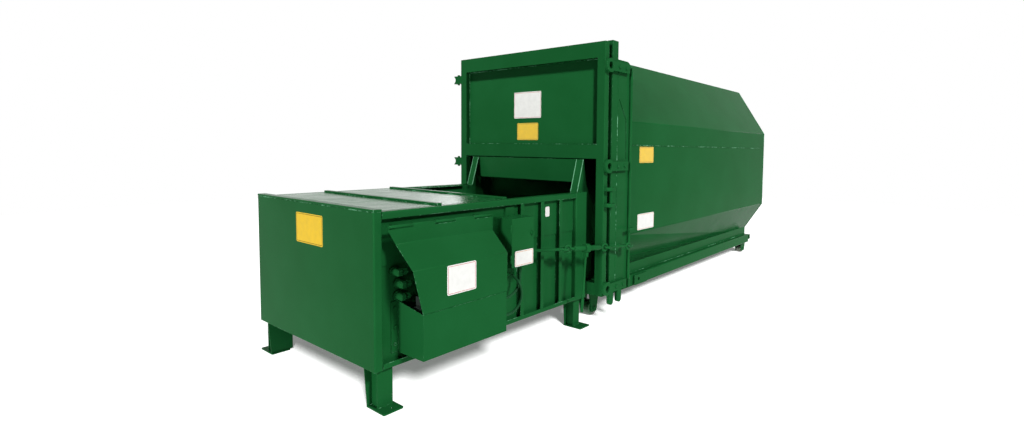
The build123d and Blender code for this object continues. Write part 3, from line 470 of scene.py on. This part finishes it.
def hoses():
    """The two hoses, each on one smooth line from its upper gland to the power unit's end plate."""
    for name, (length, route) in HOSES.items():
        curve = bpy.data.curves.new(name + "_line", "CURVE")
        curve.dimensions = "3D"
        spline = curve.splines.new("NURBS")
        spline.points.add(len(route) - 1)
        for point, place in zip(spline.points, route):
            point.co = (*place, 1.0)
        spline.order_u = 3
        spline.use_endpoint_u = True
        spline.resolution_u = 12
        curve.bevel_depth = HOSE_DIAMETER / 2
        curve.bevel_resolution = 6
        curve.use_fill_caps = True
        curve.materials.append(HOSE_RUBBER)
        piece = add_piece(name + "_line", curve, "machine")
        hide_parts(name)


def tube(verts, faces, start, way, rings, sides):
    """A closed round form along a line; rings are pairs of distance along it and radius."""
    side = way.orthogonal().normalized()
    over = way.cross(side)
    first = len(verts)
    for distance, radius in rings:
        for corner in range(sides):
            angle = 2 * math.pi * corner / sides
            verts.append(start + way * distance + (side * math.cos(angle) + over * math.sin(angle)) * radius)
    for ring in range(len(rings) - 1):
        for corner in range(sides):
            here = first + ring * sides + corner
            there = first + ring * sides + (corner + 1) % sides
            faces.append((here, there, there + sides, here + sides))
    last = first + (len(rings) - 1) * sides
    faces.append(tuple(first + corner for corner in reversed(range(sides))))
    faces.append(tuple(last + corner for corner in range(sides)))


def smooth_mesh(name, verts, faces, material):
    """A mesh with smooth shading and one material."""
    mesh = bpy.data.meshes.new(name)
    mesh.from_pydata(verts, [], faces)
    mesh.materials.append(material)
    mesh.polygons.foreach_set("use_smooth", [True] * len(mesh.polygons))
    mesh.update()
    return mesh


def ferrules():
    """A crimped ferrule over both ends of each hose."""
    verts, faces = [], []
    for _, route in HOSES.values():
        for end, inner in ((route[0], route[1]), (route[-1], route[-2])):
            way = (Vector(inner) - Vector(end)).normalized()
            tube(verts, faces, Vector(end), way, FERRULE, FERRULE_SIDES)
    add_piece("hose_ferrules", smooth_mesh("hose_ferrules", verts, faces, GREEN_PAINT), "machine")


def bead_rings(length, radius):
    """The swelling outline of a weld bead."""
    count = max(2, 2 * round(length / RIPPLE))
    swell = [radius * (1.0 if ring % 2 else RIPPLE_DIP) * (1 + RIPPLE_SWAY * math.sin(RIPPLE_TURN * ring))
             for ring in range(count + 1)]
    swell[0] = swell[-1] = BEAD_END * radius
    return [(length * ring / count, size) for ring, size in enumerate(swell)]


def stitches(start, end, length, gap):
    """Short lengths of weld along a line."""
    start, end = Vector(start), Vector(end)
    run = end - start
    way = run.normalized()
    count = max(1, int((run.length + gap) / (length + gap)))
    lead = (run.length - count * length - (count - 1) * gap) / 2
    places = [lead + number * (length + gap) for number in range(count)]
    return [(start + way * place, start + way * (place + length)) for place in places]


def on_both_sides(lines):
    """Lines on the power unit's side, with their twins on the far side."""
    flip = Vector((1, -1, 1))
    return lines + [(Vector(start) * flip, Vector(end) * flip) for start, end in lines]


def container_seams():
    """Welds of the container: a long seam on each side, the roof, the skirts, the collar and both ends."""
    front, rear = SHELL_X
    lines = [((front, y, z), (rear, y, z)) for y, z in LONG_SEAMS]
    lines.append(tuple((*COLLAR_SEAM, z) for z in COLLAR_Z))
    for x in SHELL_X:
        for (y, z), (next_y, next_z) in zip(OCTAGON, OCTAGON[1:]):
            lines.append(((x, -y, z), (x, -next_y, next_z)))
    return on_both_sides(lines)


def body_seams():
    """Welds of the compactor and the door: legs, the door's panel, ribs and cover bars."""
    lines = []
    for back, width in LEGS:
        for z in (PAD_TOP, LEG_TOP):
            lines.append(((back, LEG_OUTSIDE, z), (back + width, LEG_OUTSIDE, z)))
        lines.append(((back, LEG_INSIDE, PAD_TOP), (back + LEG_INNER_WIDTH, LEG_INSIDE, PAD_TOP)))
    lines.append(tuple((RECESS_X, -RECESS_SIDE, z) for z in RECESS_Z))
    lines = on_both_sides(lines)
    for z in RECESS_Z:
        lines.append(((RECESS_X, -RECESS_SIDE, z), (RECESS_X, RECESS_SIDE, z)))
    low, high = RIB_Z
    for number in range(RIBS_FAR_SIDE):
        middle = RIB_FIRST - RIB_PITCH * number
        for x in (middle - RIB_EDGE, middle + RIB_EDGE):
            pair = on_both_sides(stitches((x, WALL_FACE, low), (x, WALL_FACE, high), *RIB_STITCH))
            lines += pair if number < RIBS_POWER_SIDE else pair[len(pair) // 2:]
    for x in BAR_EDGES:
        lines += stitches((x, -BAR_HALF, COVER_TOP), (x, BAR_HALF, COVER_TOP), *BAR_STITCH)
    return lines


def post_folds():
    """The throat posts' folds and inner edges."""
    (foot_x, foot_z), (head_x, head_z) = POST_FOOT, POST_HEAD
    return on_both_sides([((foot_x, y, foot_z), (head_x, y, head_z)) for y in POST_FOLDS])


def welds():
    """Every weld bead, as three rippled pieces, painted pale in places: partly rubbed enamel, partly a painted
    highlight along seams, folds and post edges.
    """
    kinds = (
        # Container and body beads and the post folds are painted pale in places: rubbed enamel and a painted
        # highlight
        ("container_welds", container_seams(), CONTAINER_BEAD, EDGE_WEAR_AND_GLINT_PAINT),
        ("body_welds", body_seams(), BODY_BEAD, EDGE_WEAR_AND_GLINT_PAINT),
        ("post_welds", post_folds(), POST_BEAD, FOLD_WEAR_AND_GLINT_PAINT),
    )
    for name, lines, radius, enamel in kinds:
        verts, faces = [], []
        for start, end in lines:
            start, end = Vector(start), Vector(end)
            run = end - start
            tube(verts, faces, start, run.normalized(), bead_rings(run.length, radius), BEAD_SIDES)
        add_piece(name, smooth_mesh(name, verts, faces, enamel), "machine")


def rounded_loop(corner, right, up, inset, lift):
    """Points round a rectangle with rounded corners, set in from its edge and lifted off its surface."""
    wide, high = right.length, up.length
    across, upward = right.normalized(), up.normalized()
    out = across.cross(upward)
    turn = max(PLATE_CORNER - inset, LEAST_CORNER)
    points = []
    for quarter, (u, v) in enumerate(((1, 0), (1, 1), (0, 1), (0, 0))):
        middle_u = wide - inset - turn if u else inset + turn
        middle_v = high - inset - turn if v else inset + turn
        for step in range(CORNER_POINTS):
            angle = math.radians(90 * (quarter - 1) + 90 / (CORNER_POINTS - 1) * step)
            place = across * (middle_u + turn * math.cos(angle)) + upward * (middle_v + turn * math.sin(angle))
            points.append(corner + place + out * lift)
    return points


def plate(name, corner, right, up, field, line, body):
    """A bare plate with rounded corners: a plain field with a thin line set in from its edge."""
    corner, right, up = Vector(corner), Vector(right), Vector(up)
    steps = ((0, 0), (0, PLATE_THICK - PLATE_BEVEL), (PLATE_BEVEL, PLATE_THICK), (LINE_OUTER, PLATE_THICK),
             (LINE_INNER, PLATE_THICK))
    loops = [rounded_loop(corner, right, up, inset, lift) for inset, lift in steps]
    line_ring = len(loops) - 2
    count = len(loops[0])
    verts = [point for loop in loops for point in loop]
    faces, slots = [tuple(reversed(range(count)))], [0]
    for ring in range(len(loops) - 1):
        for number in range(count):
            here = ring * count + number
            there = ring * count + (number + 1) % count
            faces.append((here, there, there + count, here + count))
            slots.append(1 if ring == line_ring else 0)
    faces.append(tuple(range(len(verts) - count, len(verts))))
    slots.append(0)
    mesh = bpy.data.meshes.new(name)
    mesh.from_pydata(verts, [], faces)
    for colour in (field, line):
        mesh.materials.append(PRINT[colour])
    mesh.polygons.foreach_set("material_index", slots)
    mesh.update()
    add_piece(name, mesh, body)


def plates():
    """The bare plates, each on its carrier's outer face: the door panel's is across X, the others' across Y."""
    for name, (carrier, left, low, wide, high, field, line, body) in PLATES.items():
        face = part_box(carrier)[0]
        if carrier == "door_panel":
            corner, right = (face.x, left, low), (0, -wide, 0)
        else:
            corner, right = (left, face.y, low), (wide, 0, 0)
        plate(name, corner, right, (0, 0, high), field, line, body)


def camera():
    """The photograph's camera."""
    data = bpy.data.cameras.new("camera")
    data.sensor_width = SENSOR
    data.lens = SENSOR * FOCAL_PIXELS / IMAGE[0]
    data.shift_x = (IMAGE[0] / 2 - OPTICAL_AXIS[0]) / IMAGE[0]
    data.shift_y = (OPTICAL_AXIS[1] - IMAGE[1] / 2) / IMAGE[0]
    made = bpy.data.objects.new("camera", data)
    level = Matrix.Rotation(math.radians(-CAMERA_HEADING), 4, "Z")
    down = Matrix.Rotation(math.radians(90 - CAMERA_DOWN), 4, "X")
    roll = Matrix.Rotation(math.radians(CAMERA_ROLL), 4, "Z")
    made.matrix_world = Matrix.Translation(CAMERA_PLACE) @ level @ down @ roll
    bpy.context.scene.collection.objects.link(made)
    bpy.context.scene.camera = made


def lit_group(name, pieces, state):
    """A group of pieces that a light reaches alone, or leaves out."""
    group = bpy.data.collections.new(name)
    for piece in pieces:
        group.objects.link(piece)
    for entry in group.collection_objects:
        entry.light_linking.link_state = state
    return group


def lights(ground):
    """Soft light from three sides, and lights of their own for the recessed door and the floor."""
    door = [bpy.data.objects[name] for name in DOOR_LIT]
    groups = {
        "front_light": lit_group("front_off_floor", [ground], "EXCLUDE"),
        "back_light": lit_group("back_off_floor", [ground], "EXCLUDE"),
        "rear_light": lit_group("off_floor_and_door", [ground] + door, "EXCLUDE"),
        "door_light": lit_group("door_only", door, "INCLUDE"),
        "floor_light": lit_group("floor_only", [ground], "INCLUDE"),
    }
    for name, (come_from, strength, width) in LIGHTS.items():
        data = bpy.data.lights.new(name, "SUN")
        data.energy = strength
        data.angle = math.radians(width)
        lamp = bpy.data.objects.new(name, data)
        lamp.rotation_mode = "QUATERNION"
        lamp.rotation_quaternion = Vector(come_from).to_track_quat("Z", "Y")
        lamp.light_linking.receiver_collection = groups[name]
        bpy.context.scene.collection.objects.link(lamp)


def seen_rays(tree):
    """1 for what the camera, reflections and glass show, and 0 for light that bounces."""
    rays = node(tree, "ShaderNodeLightPath").outputs
    clear = maths(tree, "MAXIMUM", rays["Is Camera Ray"], rays["Is Transmission Ray"])
    return maths(tree, "MAXIMUM", clear, rays["Is Glossy Ray"])


def sky():
    """Soft even light, and plain white where it is seen."""
    world = bpy.data.worlds.new("studio")
    world.use_nodes = True
    tree = world.node_tree
    tree.nodes.clear()
    level = between(tree, seen_rays(tree), SKY_LEVEL, 1.0)
    background = node(tree, "ShaderNodeBackground", {"Color": WHITE, "Strength": level})
    output = node(tree, "ShaderNodeOutputWorld")
    tree.links.new(background.outputs[0], output.inputs["Surface"])
    bpy.context.scene.world = world


def floor_material():
    """A pale floor that is white where it is seen, and keeps the shadow."""
    material = bpy.data.materials.new("pale_floor")
    material.use_nodes = True
    tree = material.node_tree
    tree.nodes.clear()
    seen = seen_rays(tree)
    albedo = mixed(tree, seen, FLOOR_BOUNCE, FLOOR_SEEN)
    fill = maths(tree, "MULTIPLY", seen, FLOOR_GLOW)
    glow = node(tree, "ShaderNodeEmission", {"Color": WHITE, "Strength": fill})
    matt = node(tree, "ShaderNodeBsdfDiffuse", {"Color": albedo})
    both = node(tree, "ShaderNodeAddShader", {0: glow.outputs[0], 1: matt.outputs[0]})
    output = node(tree, "ShaderNodeOutputMaterial")
    tree.links.new(both.outputs[0], output.inputs["Surface"])
    return material


def floor():
    """A round floor under the machine."""
    middle_x, middle_y = FLOOR_CENTRE
    verts = [(middle_x, middle_y, 0.0)]
    for number in range(FLOOR_SIDES):
        angle = 2 * math.pi * number / FLOOR_SIDES
        verts.append((middle_x + FLOOR_RADIUS * math.cos(angle), middle_y + FLOOR_RADIUS * math.sin(angle), 0.0))
    faces = [(0, number + 1, (number + 1) % FLOOR_SIDES + 1) for number in range(FLOOR_SIDES)]
    mesh = bpy.data.meshes.new("floor")
    mesh.from_pydata(verts, [], faces)
    mesh.materials.append(floor_material())
    made = bpy.data.objects.new("floor", mesh)
    bpy.context.scene.collection.objects.link(made)
    return made


camera()
hoses()
ferrules()
dress_nodes()
welds()
plates()
lights(floor())
sky()
bpy.context.scene.view_settings.view_transform = "Standard"
